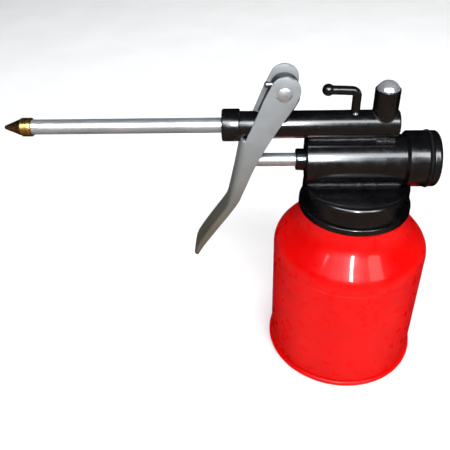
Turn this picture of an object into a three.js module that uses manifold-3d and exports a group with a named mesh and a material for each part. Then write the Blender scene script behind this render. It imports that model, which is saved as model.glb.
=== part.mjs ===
import * as THREE from "three";
import { mergeVertices } from "three/addons/utils/BufferGeometryUtils.js";
import Module from "manifold-3d";

// Hand-pump oil can: a steel can, a screw-on pump head with a squeeze lever, and a straight spout.
// Millimetres, +Z up. The origin is the centre of the circle that the can stands on, the spout points
// along -X, and the pump barrel and the delivery tube lie above each other in the plane y = 0.

const wasm = await Module();
wasm.setup();

// ---------------------------------------------------------------- driving dimensions

const canRadius = 40;
const canSheet = 0.8;
const beadRadius = 41.4;
const beadHeight = 3.2;
const seamHeight = 67.4;
const shoulderStart = 70;
const shoulderRound = 11;
const shoulderTurn = 0.68;
const neckRadius = 27.5;
const neckHeight = 95.7;
const threadRadius = 23.7;

const capRadius = 26.4;
const capBottom = 99.9;
const capTop = 110;
const capPlate = 2;
const capBore = threadRadius + 0.3;
const gasketHeight = 0.4;

const barrelAxis = 122;
const barrelRadius = 11.8;
const barrelBore = 10;
const barrelFront = -26;
const barrelRear = 30.4;
const headFront = 20.4;
const rearRadius = 13.5;
const rearEnd = 36.4;

const rodRadius = 3.26;
const rodTip = -57.6;
const glandRadius = 5.33;
const glandFront = -30.7;
const sealRadius = 4.3;
const sealLength = 2.3;

const tubeAxis = 141;
const tubeRadius = 6.44;
const tubeBore = 4.2;
const tubeFront = -60.5;
const tubeRear = 16.2;

const nutRadius = 7.62;
const nutFront = -65.8;
const nutRear = -57.3;
const spoutRadius = 3.54;
const spoutBore = 2.2;
const nozzleRadius = 4.43;
const nozzleRear = -156;
const nozzleTip = -169.5;

const valveX = 9.2;
const bossRadius = 5.75;
const plugRadius = 5.15;
const bossTop = 158.4;
const outletPort = 1.8;
const outletBall = 2.8;
const inletHole = 2;
const inletPort = 1.6;
const inletBall = 2.4;
const inletSeat = capTop - capPlate - 5.2;

const pivotX = -37.3;
const pivotZ = 159.6;
const pinRadius = 2.3;
const setScrewZ = 161;
const leverWidth = 16.2;
const leverPlate = 1.4;

const clearance = 0.1;
const wide = 40;
const medium = 24;
const small = 20;
const tiny = 12;

// ---------------------------------------------------------------- finishes

function finish(color, roughness, metalness) {
  return () => new THREE.MeshStandardMaterial({ color, roughness, metalness });
}

const redPaint = finish(0xe60a0a, 0.25, 0.1);
const blackPaint = finish(0x0c0d10, 0.25, 0.1);
const zincSteel = finish(0xb4b8b8, 0.4, 0.9);
const brightSteel = finish(0xc8cacc, 0.3, 0.9);
const springSteel = finish(0x80848a, 0.4, 0.9);
const brass = finish(0x8c6428, 0.35, 0.9);
const chrome = finish(0xe0e0e4, 0.08, 1);
const rubber = finish(0x1a1a1a, 0.8, 0);
const leather = finish(0x7a4a28, 0.8, 0);

// ---------------------------------------------------------------- shape helpers

// Points of a circular stretch of a profile.
function arc(centreX, centreY, radius, from, to, steps) {
  return Array.from({ length: steps + 1 }, (_, step) => {
    const angle = from + ((to - from) * step) / steps;
    return [centreX + radius * Math.cos(angle), centreY + radius * Math.sin(angle)];
  });
}

// A turned piece. The profile is a list of [radius, height], walked with the material on its left.
function turned(profile, segments) {
  const points = profile.map(([radius, height]) => new THREE.Vector2(radius, height));
  return new THREE.LatheGeometry(points, segments);
}

function turnedAlongZ(profile, segments) {
  return turned(profile, segments).rotateX(Math.PI / 2);
}

function turnedAlongX(profile, segments) {
  return turned(profile, segments).rotateZ(-Math.PI / 2);
}

// A closed ring profile with a plain rectangular section.
function ring(inner, outer, low, high) {
  return [[inner, low], [outer, low], [outer, high], [inner, high], [inner, low]];
}

// A solid bar's profile, from axis to axis.
function bar(radius, low, high) {
  return [[0, low], [radius, low], [radius, high], [0, high]];
}

// Turns the outer line of a sheet-metal profile into the closed section of the sheet.
function sheetSection(outer, thickness) {
  const inner = outer.map(([x, y], index) => {
    const before = outer[Math.max(index - 1, 0)];
    const after = outer[Math.min(index + 1, outer.length - 1)];
    const along = new THREE.Vector2(after[0] - before[0], after[1] - before[1]).normalize();
    return [x - thickness * along.y, y + thickness * along.x];
  });
  return [...outer, ...inner.reverse(), outer[0]];
}

// A flat outline of [x, z] points, given a thickness along Y and centred on y = 0.
function slab(outline, thickness) {
  const shape = new THREE.Shape(outline.map(([x, z]) => new THREE.Vector2(x, z)));
  const geometry = new THREE.ExtrudeGeometry(shape, { depth: thickness, bevelEnabled: false });
  return geometry.rotateX(Math.PI / 2).translate(0, thickness / 2, 0);
}

// A round wire bent along a curve.
function wire(curve, radius, sides, steps) {
  const corners = arc(0, 0, radius, 0, 2 * Math.PI, sides).slice(0, sides);
  const section = new THREE.Shape(corners.map(([x, y]) => new THREE.Vector2(x, y)));
  return new THREE.ExtrudeGeometry(section, { steps, bevelEnabled: false, extrudePath: curve });
}

// The centre line of a coil spring along +Z from the origin.
class Coil extends THREE.Curve {
  constructor(radius, length, turns) {
    super();
    this.radius = radius;
    this.length = length;
    this.turns = turns;
  }

  getPoint(t, target = new THREE.Vector3()) {
    const angle = 2 * Math.PI * this.turns * t;
    return target.set(this.radius * Math.cos(angle), this.radius * Math.sin(angle), this.length * t);
  }
}

function coilSpring(radius, wireRadius, length, turns) {
  const centreLine = new Coil(radius, length - 2 * wireRadius, turns);
  return wire(centreLine, wireRadius, 5, turns * 10).translate(0, 0, wireRadius);
}

// ---------------------------------------------------------------- joins and cuts

function toSolid(geometry) {
  const bare = geometry.clone();
  bare.deleteAttribute("normal");
  bare.deleteAttribute("uv");
  const merged = mergeVertices(bare);
  const corners = merged.index.array;
  const kept = [];
  for (let first = 0; first < corners.length; first += 3) {
    const [a, b, c] = corners.slice(first, first + 3);
    if (a !== b && b !== c && c !== a) {
      kept.push(a, b, c);
    }
  }
  const vertProperties = new Float32Array(merged.attributes.position.array);
  const triVerts = new Uint32Array(kept);
  return new wasm.Manifold(new wasm.Mesh({ numProp: 3, vertProperties, triVerts }));
}

function toGeometry(solid) {
  const { vertProperties, triVerts } = solid.getMesh();
  const geometry = new THREE.BufferGeometry();
  geometry.setAttribute("position", new THREE.BufferAttribute(vertProperties, 3));
  geometry.setIndex(new THREE.BufferAttribute(triVerts, 1));
  return geometry;
}

function join(...geometries) {
  const solids = geometries.map(toSolid);
  return toGeometry(solids.reduce((whole, next) => whole.add(next)));
}

function cut(geometry, ...tools) {
  const solids = tools.map(toSolid);
  return toGeometry(solids.reduce((rest, tool) => rest.subtract(tool), toSolid(geometry)));
}

function drillZ(radius, x, low, high) {
  return turnedAlongZ(bar(radius, low, high), tiny).translate(x, 0, 0);
}

function drillY(radius, x, z) {
  return turned(bar(radius, -leverWidth, leverWidth), small).translate(x, 0, z);
}

// The space that the delivery tube and the barrel take up, with the gap that their neighbours keep.
function tubeSpace() {
  const space = bar(tubeRadius + clearance, tubeFront, tubeRear + 1);
  return turnedAlongX(space, small).translate(0, 0, tubeAxis);
}

function barrelSpace() {
  const space = bar(barrelRadius + clearance, barrelFront - 1, barrelRear);
  return turnedAlongX(space, medium).translate(0, 0, barrelAxis);
}

// ---------------------------------------------------------------- can

function canWall() {
  return turnedAlongZ(ring(canRadius - canSheet, canRadius, beadHeight + clearance, seamHeight), wide);
}

// The shoulder rolls in from the wall, runs straight, and flares upright again at the neck.
function shoulderLine() {
  const roll = arc(canRadius - shoulderRound, shoulderStart, shoulderRound, 0, shoulderTurn, 4);
  const [rollRadius, rollHeight] = roll[roll.length - 1];
  const slope = 1 / Math.tan(shoulderTurn);
  const rise = neckHeight - rollHeight - (rollRadius - neckRadius) * slope;
  const flareRound = rise / (Math.sin(shoulderTurn) - (1 - Math.cos(shoulderTurn)) * slope);
  const flare = arc(neckRadius + flareRound, neckHeight, flareRound, Math.PI + shoulderTurn, Math.PI, 4);
  return [...roll, ...flare];
}

function canShoulder() {
  const skirtRadius = canRadius - canSheet - clearance;
  const skirt = [[skirtRadius, seamHeight - 4], [skirtRadius, seamHeight], [canRadius, seamHeight + 0.2]];
  return turnedAlongZ(sheetSection([...skirt, ...shoulderLine()], canSheet), wide);
}

// The base panel, the stiffening groove pressed into it, and the rolled bead round it.
function canBase() {
  const grooveDepth = 1.4;
  const grooveInner = canRadius - 8;
  const grooveOuter = canRadius - 2;
  const beadRound = 0.6;
  const profile = [
    [0, 0],
    [grooveInner, 0],
    [grooveInner + 1, grooveDepth],
    [grooveOuter, grooveDepth],
    [grooveOuter + 1, 0],
    [beadRadius - beadRound, 0],
    [beadRadius, beadRound],
    [beadRadius, beadHeight - beadRound],
    [beadRadius - beadRound, beadHeight],
    [grooveOuter + 1, beadHeight],
    [grooveOuter, grooveDepth + canSheet],
    [grooveInner, grooveDepth + canSheet],
    [grooveInner - 1, canSheet],
    [0, canSheet],
  ];
  return turnedAlongZ(profile, wide);
}

// A flange on the shoulder, carrying the threaded spigot that the cap screws over.
function neckCollar() {
  const flangeRadius = neckRadius + 0.4;
  const flangeTop = capBottom - gasketHeight - 2 * clearance;
  const spigotBore = threadRadius - 2;
  const spigotFoot = neckHeight - 4;
  const spigotTop = capTop - capPlate - 0.5;
  const profile = [
    [spigotBore, spigotFoot],
    [threadRadius, spigotFoot],
    [threadRadius, neckHeight + clearance],
    [flangeRadius, neckHeight + clearance],
    [flangeRadius, flangeTop],
    [threadRadius, flangeTop],
    [threadRadius, spigotTop],
    [spigotBore, spigotTop],
    [spigotBore, spigotFoot],
  ];
  return turnedAlongZ(profile, wide);
}

function neckGasket() {
  const low = capBottom - gasketHeight - clearance;
  return turnedAlongZ(ring(capBore, capRadius - 0.4, low, low + gasketHeight), wide);
}

// ---------------------------------------------------------------- pump head

// The cap is notched under the barrel's wider rear end.
function pumpCap() {
  const edge = 2.4;
  const profile = [
    [capBore, capBottom],
    [capRadius, capBottom],
    ...arc(capRadius - edge, capTop - edge, edge, 0, Math.PI / 2, 4),
    [inletHole, capTop],
    [inletHole, capTop - capPlate],
    [capBore, capTop - capPlate],
    [capBore, capBottom],
  ];
  const notch = turnedAlongX(bar(rearRadius + 0.3, headFront - 0.3, barrelRear), medium);
  return cut(turnedAlongZ(profile, wide), notch.translate(0, 0, barrelAxis));
}

function pumpBarrel() {
  const frontWall = 2;
  const rodHole = rodRadius + 0.3;
  const chamfer = 0.5;
  const profile = [
    [rodHole, barrelFront],
    [barrelRadius - chamfer, barrelFront],
    [barrelRadius, barrelFront + chamfer],
    [barrelRadius, barrelRear],
    [barrelBore, barrelRear],
    [barrelBore, barrelFront + frontWall],
    [rodHole, barrelFront + frontWall],
    [rodHole, barrelFront],
  ];
  const lowerHole = drillZ(inletHole, 0, -barrelRadius - 1, -barrelBore + 1);
  const upperHole = drillZ(outletPort, valveX, barrelBore - 1, barrelRadius + 1);
  return cut(turnedAlongX(profile, medium), lowerHole, upperHole);
}

function barrelHead() {
  const back = barrelRear + 0.2;
  const chamfer = 1.4;
  const bore = barrelRadius + clearance;
  const profile = [
    [bore, headFront],
    [rearRadius - chamfer, headFront],
    [rearRadius, headFront + chamfer],
    [rearRadius, back],
    [bore, back],
    [bore, headFront],
  ];
  return turnedAlongX(profile, medium);
}

function rearGasket() {
  return turnedAlongX(ring(barrelBore, rearRadius + 0.5, barrelRear + 0.3, barrelRear + 2), medium);
}

// A screw cap with a spigot that holds the return spring, and a coin slot across its end.
function rearCap() {
  const front = barrelRear + 2.1;
  const rim = 1.6;
  const spigot = barrelBore - clearance;
  const spigotFront = front - 5;
  const cupRadius = 8;
  const profile = [
    [0, front],
    [cupRadius, front],
    [cupRadius, spigotFront],
    [spigot, spigotFront],
    [spigot, front],
    [rearRadius, front],
    ...arc(rearRadius - rim, rearEnd - rim, rim, 0, Math.PI / 2, 4),
    [0, rearEnd],
  ];
  const slot = new THREE.BoxGeometry(2, 16, 2).translate(rearEnd, 0, 0);
  return cut(turnedAlongX(profile, medium), slot);
}

function glandNut() {
  const chamfer = 0.5;
  const bore = rodRadius + 0.2;
  const back = barrelFront - clearance;
  const sealFront = back - sealLength - 2 * clearance;
  const profile = [
    [bore, glandFront],
    [glandRadius - chamfer, glandFront],
    [glandRadius, glandFront + chamfer],
    [glandRadius, back],
    [sealRadius + clearance, back],
    [sealRadius + clearance, sealFront],
    [bore, sealFront],
    [bore, glandFront],
  ];
  return turnedAlongX(profile, small);
}

function glandSeal() {
  const back = barrelFront - 2 * clearance;
  return turnedAlongX(ring(rodRadius + 0.15, sealRadius, back - sealLength, back), small);
}

// The inlet valve's body hangs under the cap and takes the suction tube in its lower end.
function inletCage() {
  const top = capTop - capPlate - clearance;
  const seat = inletSeat;
  const bottom = seat - 4.3;
  const socket = 3.05;
  const profile = [
    [socket, bottom],
    [5.5, bottom],
    [5.5, top],
    [3.2, top],
    [3.2, seat],
    [inletPort, seat],
    [inletPort, seat - 1.8],
    [socket, seat - 1.8],
    [socket, bottom],
  ];
  return turnedAlongZ(profile, small);
}

function suctionTube() {
  return turnedAlongZ(ring(2, 2.9, 9, 100.8), tiny);
}

// A foot with a hole below and four slots, so that the tube draws oil from just above the base.
function suctionStrainer() {
  const bottom = 5.2;
  const step = 8.9;
  const profile = [
    [1.2, bottom],
    [4.6, bottom],
    [4.6, step + 5],
    [3, step + 5],
    [3, step],
    [3.7, step],
    [3.7, bottom + 1],
    [1.2, bottom + 1],
    [1.2, bottom],
  ];
  const slots = [0, Math.PI / 2].map((turn) => {
    return new THREE.BoxGeometry(12, 1.2, 1.4).rotateZ(turn).translate(0, 0, bottom + 2.2);
  });
  return cut(turnedAlongZ(profile, tiny), ...slots);
}

// ---------------------------------------------------------------- delivery tube and valve

function outletTube() {
  const endWall = 2;
  const endRound = 0.9;
  const chamfer = 0.3;
  const profile = [
    [0, tubeRear - endWall],
    [tubeBore, tubeRear - endWall],
    [tubeBore, tubeFront],
    [tubeRadius - chamfer, tubeFront],
    [tubeRadius, tubeFront + chamfer],
    [tubeRadius, tubeRear - endRound],
    [tubeRadius - endRound, tubeRear],
    [0, tubeRear],
  ];
  const lowerHole = drillZ(outletPort, valveX, -tubeRadius - 1, -tubeBore + 1);
  const upperHole = drillZ(3.4, valveX, tubeBore - 2, tubeRadius + 1);
  return cut(turnedAlongX(profile, small), lowerHole, upperHole);
}

// The brazed strip that fills the wedge between the barrel and the delivery tube.
function tubeSaddle() {
  const front = barrelFront + 2;
  const back = tubeRear - 2;
  const block = new THREE.BoxGeometry(back - front, 7, 5);
  block.translate((front + back) / 2, 0, (barrelAxis + barrelRadius + tubeAxis - tubeRadius) / 2);
  return cut(block, tubeSpace(), barrelSpace(), drillZ(outletPort, valveX, barrelAxis, tubeAxis));
}

function valveBoss() {
  const bore = 4;
  const plugSeat = bossTop - 2;
  const rim = 0.35;
  const rimBore = plugRadius + clearance;
  const profile = [
    [bore, tubeAxis],
    [bossRadius, tubeAxis],
    ...arc(bossRadius - rim, bossTop - rim, rim, 0, Math.PI / 2, 3),
    [rimBore, bossTop],
    [rimBore, plugSeat],
    [bore, plugSeat],
    [bore, tubeAxis],
  ];
  return cut(turnedAlongZ(profile, small).translate(valveX, 0, 0), tubeSpace());
}

// The plug's dome is a little less than half of a sphere.
function valvePlug() {
  const shank = 3.85;
  const domeRise = 3.7;
  const domeRound = (plugRadius ** 2 + domeRise ** 2) / (2 * domeRise);
  const domeAngle = Math.acos(plugRadius / domeRound);
  const profile = [
    [0, bossTop - 4.5],
    [shank, bossTop - 4.5],
    [shank, bossTop - 1.3],
    [plugRadius, bossTop - 1.3],
    ...arc(0, bossTop + domeRise - domeRound, domeRound, domeAngle, Math.PI / 2, 6).slice(0, 6),
    [0, bossTop + domeRise],
  ];
  return turnedAlongZ(profile, small);
}

function plugWasher() {
  return turnedAlongZ(ring(3.95, plugRadius - clearance, bossTop - 1.9, bossTop - 1.4), small);
}

// ---------------------------------------------------------------- spout

// The front collar draws the spout's ferrule up against the end of the delivery tube.
function spoutNut() {
  const chamfer = 0.6;
  const lip = 3;
  const bore = tubeRadius + clearance;
  const profile = [
    [spoutRadius + clearance, nutFront],
    [nutRadius - chamfer, nutFront],
    [nutRadius, nutFront + chamfer],
    [nutRadius, nutRear - chamfer],
    [nutRadius - chamfer, nutRear],
    [bore, nutRear],
    [bore, nutFront + lip],
    [spoutRadius + clearance, nutFront + lip],
    [spoutRadius + clearance, nutFront],
  ];
  return turnedAlongX(profile, small);
}

function spoutFerrule() {
  return turnedAlongX(ring(spoutRadius + clearance, 6.3, nutFront + 3.1, tubeFront - clearance), small);
}

function spoutTube() {
  return turnedAlongX(ring(spoutBore, spoutRadius, nozzleRear - 3, nutRear), small);
}

function nozzle() {
  const tipRadius = 0.8;
  const orifice = 0.4;
  const coneStart = nozzleRear - 5;
  const socket = spoutRadius + clearance;
  const socketEnd = nozzleRear - 3.2;
  const chamfer = 0.5;
  const profile = [
    [orifice, nozzleTip],
    [tipRadius, nozzleTip],
    [nozzleRadius, coneStart],
    [nozzleRadius, nozzleRear - chamfer],
    [nozzleRadius - chamfer, nozzleRear],
    [socket, nozzleRear],
    [socket, socketEnd],
    [orifice, socketEnd],
    [orifice, nozzleTip],
  ];
  return turnedAlongX(profile, small);
}

// ---------------------------------------------------------------- hook, lug and pin

// A bent wire with a ball at its free end, on a small foot that follows the delivery tube.
function hangingHook() {
  const stemX = -4.3;
  const wireRadius = 2;
  const ballRadius = 2.75;
  const barHeight = 157.6;
  const bend = 2.6;
  const ballX = -17.4;
  const ballZ = 158.1;
  const path = new THREE.CurvePath();
  const foot = new THREE.Vector3(stemX, 0, tubeAxis + 3);
  const bendLow = new THREE.Vector3(stemX, 0, barHeight - bend);
  const corner = new THREE.Vector3(stemX, 0, barHeight);
  const bendHigh = new THREE.Vector3(stemX - bend, 0, barHeight);
  const end = new THREE.Vector3(ballX, 0, ballZ);
  path.add(new THREE.LineCurve3(foot, bendLow));
  path.add(new THREE.QuadraticBezierCurve3(bendLow, corner, bendHigh));
  path.add(new THREE.LineCurve3(bendHigh, end));
  const knob = new THREE.SphereGeometry(ballRadius, 16, 10).translate(ballX, 0, ballZ);
  const footTop = tubeAxis + tubeRadius + 1.2;
  const footRadius = 2.8;
  const flare = [
    [0, tubeAxis + 4],
    [footRadius, tubeAxis + 4],
    [footRadius, footTop - 1],
    [wireRadius, footTop],
    [0, footTop],
  ];
  const base = turnedAlongZ(flare, tiny).translate(stemX, 0, 0);
  return cut(join(wire(path, wireRadius, 12, 24), knob, base), tubeSpace());
}

// The lug leans like the lever's side plates, and its round top stays a little below theirs.
function leverLug() {
  const topX = -36.9;
  const topZ = 157.7;
  const topRound = 6.6;
  const footZ = tubeAxis + 4;
  const outline = [
    [topX - topRound - 5.8, footZ],
    [topX + 0.8, footZ],
    ...arc(topX, topZ, topRound, -0.35, Math.PI - 0.35, 12),
  ];
  const thickness = leverWidth - 2 * leverPlate - 0.8;
  const pinHole = drillY(pinRadius + 0.05, pivotX, pivotZ);
  const screwHole = turnedAlongX(bar(1.05, topX - 2 * topRound, pivotX - pinRadius), tiny);
  return cut(slab(outline, thickness), tubeSpace(), pinHole, screwHole.translate(0, 0, setScrewZ));
}

// A round-headed screw in the lug's front edge, which keeps the pin from turning.
function lugSetScrew() {
  const shank = 0.95;
  const shankEnd = pivotX - pinRadius - 0.4;
  const headBack = -44.9;
  const headRound = 1.4;
  const profile = [
    [0, headBack - headRound],
    ...arc(0, headBack, headRound, -Math.PI / 2, 0, 4).slice(1),
    [shank, headBack],
    [shank, shankEnd],
    [0, shankEnd],
  ];
  return turnedAlongX(profile, tiny).translate(0, 0, setScrewZ);
}

function pivotPin() {
  const headRadius = 3.4;
  const headRise = 1;
  const headBase = leverWidth / 2 + 0.15;
  const dome = arc(0, 0, 1, 0, Math.PI / 2, 4);
  const upper = dome.map(([across, up]) => [headRadius * across, headBase + headRise * up]);
  upper[upper.length - 1][0] = 0;
  const lower = upper.map(([radius, height]) => [radius, -height]).reverse();
  return turned([...lower, [pinRadius, -headBase], [pinRadius, headBase], ...upper], small);
}

// ---------------------------------------------------------------- lever

// Front face of the web, from the cut-out under the delivery tube down to the grip's tip.
const webLine = [
  [-57.9, 131.8],
  [-59.6, 122.9],
  [-61.5, 113.6],
  [-63.4, 104.4],
  [-65.4, 97.8],
  [-72.3, 87.4],
  [-79.1, 76.8],
  [-81.8, 71.3],
  [-83.1, 65.8],
];

// Rear edge of the side plates, from the tip up to the round head.
const rearLine = [
  [-81.2, 64.2],
  [-78.1, 72.4],
  [-60.4, 98.6],
  [-56.3, 107.1],
  [-50.8, 121],
  [-45.5, 132],
  [-39.6, 142.4],
  [-32.2, 154.5],
];

// A folded channel: two side plates joined by a web that stops short of the delivery tube.
function lever() {
  const headX = -36.9;
  const headZ = 161;
  const headRound = 6.8;
  const head = arc(headX, headZ, headRound, -0.25, Math.PI - 0.4, 12);
  const frontLine = [[-46.7, 157], [-52.1, 142.5], [-54.8, 137.4]];
  const outline = [...rearLine, ...head, ...frontLine, ...webLine];
  const channel = sheetSection([...webLine].reverse(), -leverPlate).slice(webLine.length, -1);
  const [tipX, tipZ] = channel[channel.length - 1];
  const hollow = [
    [tipX, tipZ - 5],
    [0, tipZ - 5],
    [0, headZ + 2 * headRound],
    [-90, headZ + 2 * headRound],
    [-90, webLine[0][1]],
    ...channel,
  ];
  const inside = slab(hollow, leverWidth - 2 * leverPlate);
  return cut(slab(outline, leverWidth), inside, drillY(pinRadius + 0.15, pivotX, pivotZ));
}

// ---------------------------------------------------------------- plunger and spring

const pistonBack = barrelFront + 2.4;
const cupFloor = pistonBack + 1.3;
const cupThickness = 1.6;
const shankRadius = 2.4;
const shankBore = 2.6;

function plungerRod() {
  const noseRise = 1.4;
  const nose = arc(0, 0, 1, -Math.PI / 2, 0, 4).slice(1);
  const profile = [
    [0, rodTip],
    ...nose.map(([across, up]) => [rodRadius * across, rodTip + noseRise * (1 + up)]),
    [rodRadius, pistonBack - clearance],
    [shankRadius, pistonBack - clearance],
    [shankRadius, cupFloor + 5],
    [0, cupFloor + 5],
  ];
  return turnedAlongX(profile, small);
}

function pistonWasher() {
  return turnedAlongX(ring(shankBore, 8.4, pistonBack, cupFloor - clearance), small);
}

// A cup whose thin lip faces the oil, so that pressure spreads it against the bore.
function pistonCup() {
  const lipFront = cupFloor + 4.9;
  const outer = barrelBore - 0.25;
  const profile = [
    [shankBore, cupFloor],
    [outer - 0.8, cupFloor],
    [outer, cupFloor + 1],
    [outer, lipFront],
    [outer - 0.8, lipFront],
    [outer - 1.5, cupFloor + cupThickness],
    [shankBore, cupFloor + cupThickness],
    [shankBore, cupFloor],
  ];
  return turnedAlongX(profile, medium);
}

function pistonNut() {
  const front = cupFloor + cupThickness + clearance;
  const hexagon = turnedAlongX(bar(4.8, front, front + 2.8), 6);
  return cut(hexagon, turnedAlongX(bar(shankBore, cupFloor, front + 4), tiny));
}

function returnSpring() {
  const start = cupFloor + cupThickness + clearance;
  const end = barrelRear + 2;
  return coilSpring(6.6, 0.8, end - start, 8).rotateY(Math.PI / 2).translate(start, 0, 0);
}

// ---------------------------------------------------------------- balls and their spring

function ball(radius) {
  return new THREE.SphereGeometry(radius, tiny, 8);
}

// Each ball rests on the rim of its port, and the outlet port's rim lies on the tube's round bore.
const outletSeat = tubeAxis - Math.sqrt(tubeBore ** 2 - outletPort ** 2);
const outletBallZ = outletSeat + Math.sqrt(outletBall ** 2 - outletPort ** 2) + clearance;
const inletBallZ = inletSeat + Math.sqrt(inletBall ** 2 - inletPort ** 2) + clearance;

function outletSpring() {
  const start = outletBallZ + outletBall + clearance;
  const end = bossTop - 4.6;
  return coilSpring(2.3, 0.4, end - start, 5).translate(valveX, 0, start);
}

// ---------------------------------------------------------------- assembly

function part(name, geometry, material, x = 0, z = 0) {
  const mesh = new THREE.Mesh(geometry, material());
  mesh.name = name;
  mesh.position.set(x, 0, z);
  return mesh;
}

function group(...members) {
  const assembly = new THREE.Group();
  assembly.add(...members);
  return assembly;
}

const can = group(
  part("can_wall", canWall(), redPaint),
  part("can_shoulder", canShoulder(), redPaint),
  part("can_base", canBase(), redPaint),
  part("neck_collar", neckCollar(), blackPaint),
);

const pump = group(
  part("pump_barrel", pumpBarrel(), blackPaint),
  part("barrel_head", barrelHead(), blackPaint),
  part("rear_gasket", rearGasket(), rubber),
  part("rear_cap", rearCap(), blackPaint),
  part("gland_nut", glandNut(), blackPaint),
  part("gland_seal", glandSeal(), rubber),
  part("plunger_rod", plungerRod(), brightSteel),
  part("piston_washer", pistonWasher(), zincSteel),
  part("piston_cup", pistonCup(), leather),
  part("piston_nut", pistonNut(), zincSteel),
  part("return_spring", returnSpring(), springSteel),
);
pump.position.z = barrelAxis;

const delivery = group(
  part("outlet_tube", outletTube(), blackPaint),
  part("spout_nut", spoutNut(), blackPaint),
  part("spout_ferrule", spoutFerrule(), zincSteel),
  part("spout_tube", spoutTube(), brightSteel),
  part("nozzle_tip", nozzle(), brass),
);
delivery.position.z = tubeAxis;

const head = group(
  part("neck_gasket", neckGasket(), rubber),
  part("pump_cap", pumpCap(), blackPaint),
  part("inlet_cage", inletCage(), brass),
  part("inlet_ball", ball(inletBall), chrome, 0, inletBallZ),
  part("suction_tube", suctionTube(), brightSteel),
  part("suction_strainer", suctionStrainer(), brass),
  part("tube_saddle", tubeSaddle(), blackPaint),
  part("valve_boss", valveBoss(), blackPaint),
  part("outlet_ball", ball(outletBall), chrome, valveX, outletBallZ),
  part("outlet_spring", outletSpring(), springSteel),
  part("plug_washer", plugWasher(), rubber, valveX),
  part("valve_plug", valvePlug(), chrome, valveX),
  part("hanging_hook", hangingHook(), blackPaint),
  part("lever_lug", leverLug(), blackPaint),
  part("lug_set_screw", lugSetScrew(), brightSteel),
  part("pivot_pin", pivotPin(), brightSteel, pivotX, pivotZ),
  part("lever", lever(), zincSteel),
);

const oilCan = group(can, pump, delivery, head);

export default oilCan;
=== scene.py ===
"""Hand-pump oil can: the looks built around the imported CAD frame.

Shapes are worked out in millimetres in the CAD frame: +Z up, the spout along -X, and the barrel and
the delivery tube above each other in the plane y = 0.
"""

import math

import bmesh
import bpy
from mathutils import Matrix, Vector, noise


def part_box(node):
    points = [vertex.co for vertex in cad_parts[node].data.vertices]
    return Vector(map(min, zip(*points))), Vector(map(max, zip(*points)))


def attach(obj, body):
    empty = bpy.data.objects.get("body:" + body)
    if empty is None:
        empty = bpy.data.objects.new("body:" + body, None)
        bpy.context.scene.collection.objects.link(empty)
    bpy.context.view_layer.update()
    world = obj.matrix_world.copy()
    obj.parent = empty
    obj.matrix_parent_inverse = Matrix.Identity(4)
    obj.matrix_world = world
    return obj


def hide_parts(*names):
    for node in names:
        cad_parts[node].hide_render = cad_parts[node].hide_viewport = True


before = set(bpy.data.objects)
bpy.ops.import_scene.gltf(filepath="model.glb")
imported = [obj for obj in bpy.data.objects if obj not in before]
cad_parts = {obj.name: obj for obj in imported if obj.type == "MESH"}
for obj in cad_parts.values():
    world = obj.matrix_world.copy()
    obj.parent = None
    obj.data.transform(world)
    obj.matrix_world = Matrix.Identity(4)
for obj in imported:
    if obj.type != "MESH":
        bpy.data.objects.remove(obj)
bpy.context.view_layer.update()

MM = 0.001
GAP = 0.1
WIDE = 128
MEDIUM = 96
SMALL = 64
SHEET = 0.8
PIN_HOLE = 2.35
LEVER_HOLE = 2.45


# ---------------------------------------------------------------- camera and light


def make_camera():
    """The camera stands to the front and above, and looks slightly to the left of square on."""
    yaw, pitch, roll = -0.060, 0.657, 0.039
    forward = Vector((math.sin(yaw) * math.cos(pitch), math.cos(yaw) * math.cos(pitch), -math.sin(pitch)))
    level = Vector((math.cos(yaw), -math.sin(yaw), 0))
    down = forward.cross(level)
    right = level * math.cos(roll) + down * math.sin(roll)
    up = level * math.sin(roll) - down * math.cos(roll)
    camera = bpy.data.objects.new("camera", bpy.data.cameras.new("camera"))
    camera.data.lens = 47.0
    camera.data.sensor_width = 36.0
    place = Matrix((right, up, -forward)).transposed().to_4x4()
    place.translation = Vector((-51.33, -246.77, 272.38)) * MM
    camera.matrix_world = place
    bpy.context.scene.collection.objects.link(camera)
    bpy.context.scene.camera = camera


def make_panel(name, place, width, height, power, colour, in_reflections=True, on_surfaces=True):
    """A soft light panel that faces the middle of the can's head. Metres and watts."""
    light = bpy.data.lights.new(name, "AREA")
    light.shape = "RECTANGLE"
    light.size = width
    light.size_y = height
    light.energy = power
    light.color = colour
    panel = bpy.data.objects.new(name, light)
    panel.location = place
    panel.rotation_euler = (Vector((-0.03, 0.0, 0.1)) - Vector(place)).to_track_quat("-Z", "Y").to_euler()
    panel.visible_glossy = in_reflections
    panel.visible_diffuse = on_surfaces
    bpy.context.scene.collection.objects.link(panel)


def make_world():
    """A dim studio: cool above the horizon, warm below it and dark behind the can."""
    world = bpy.data.worlds.new("studio")
    world.use_nodes = True
    nodes = world.node_tree.nodes
    links = world.node_tree.links
    direction = nodes.new("ShaderNodeTexCoord").outputs["Generated"]
    split = nodes.new("ShaderNodeSeparateXYZ")
    links.new(direction, split.inputs[0])
    ramp = nodes.new("ShaderNodeValToRGB")
    ramp.color_ramp.elements[0].position = 0.0
    ramp.color_ramp.elements[0].color = (0.24, 0.16, 0.11, 1.0)
    ramp.color_ramp.elements[1].position = 0.20
    ramp.color_ramp.elements[1].color = (0.035, 0.04, 0.06, 1.0)
    links.new(split.outputs["Z"], ramp.inputs[0])
    behind = nodes.new("ShaderNodeMapRange")
    behind.inputs["From Min"].default_value = -0.35
    behind.inputs["From Max"].default_value = 0.05
    links.new(split.outputs["Y"], behind.inputs["Value"])
    shade = nodes.new("ShaderNodeMix")
    shade.data_type = "RGBA"
    shade.inputs["B"].default_value = (0.0, 0.0, 0.0, 1.0)
    links.new(behind.outputs[0], shade.inputs["Factor"])
    links.new(ramp.outputs[0], shade.inputs["A"])
    links.new(shade.outputs["Result"], nodes["Background"].inputs["Color"])
    bpy.context.scene.world = world


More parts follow.
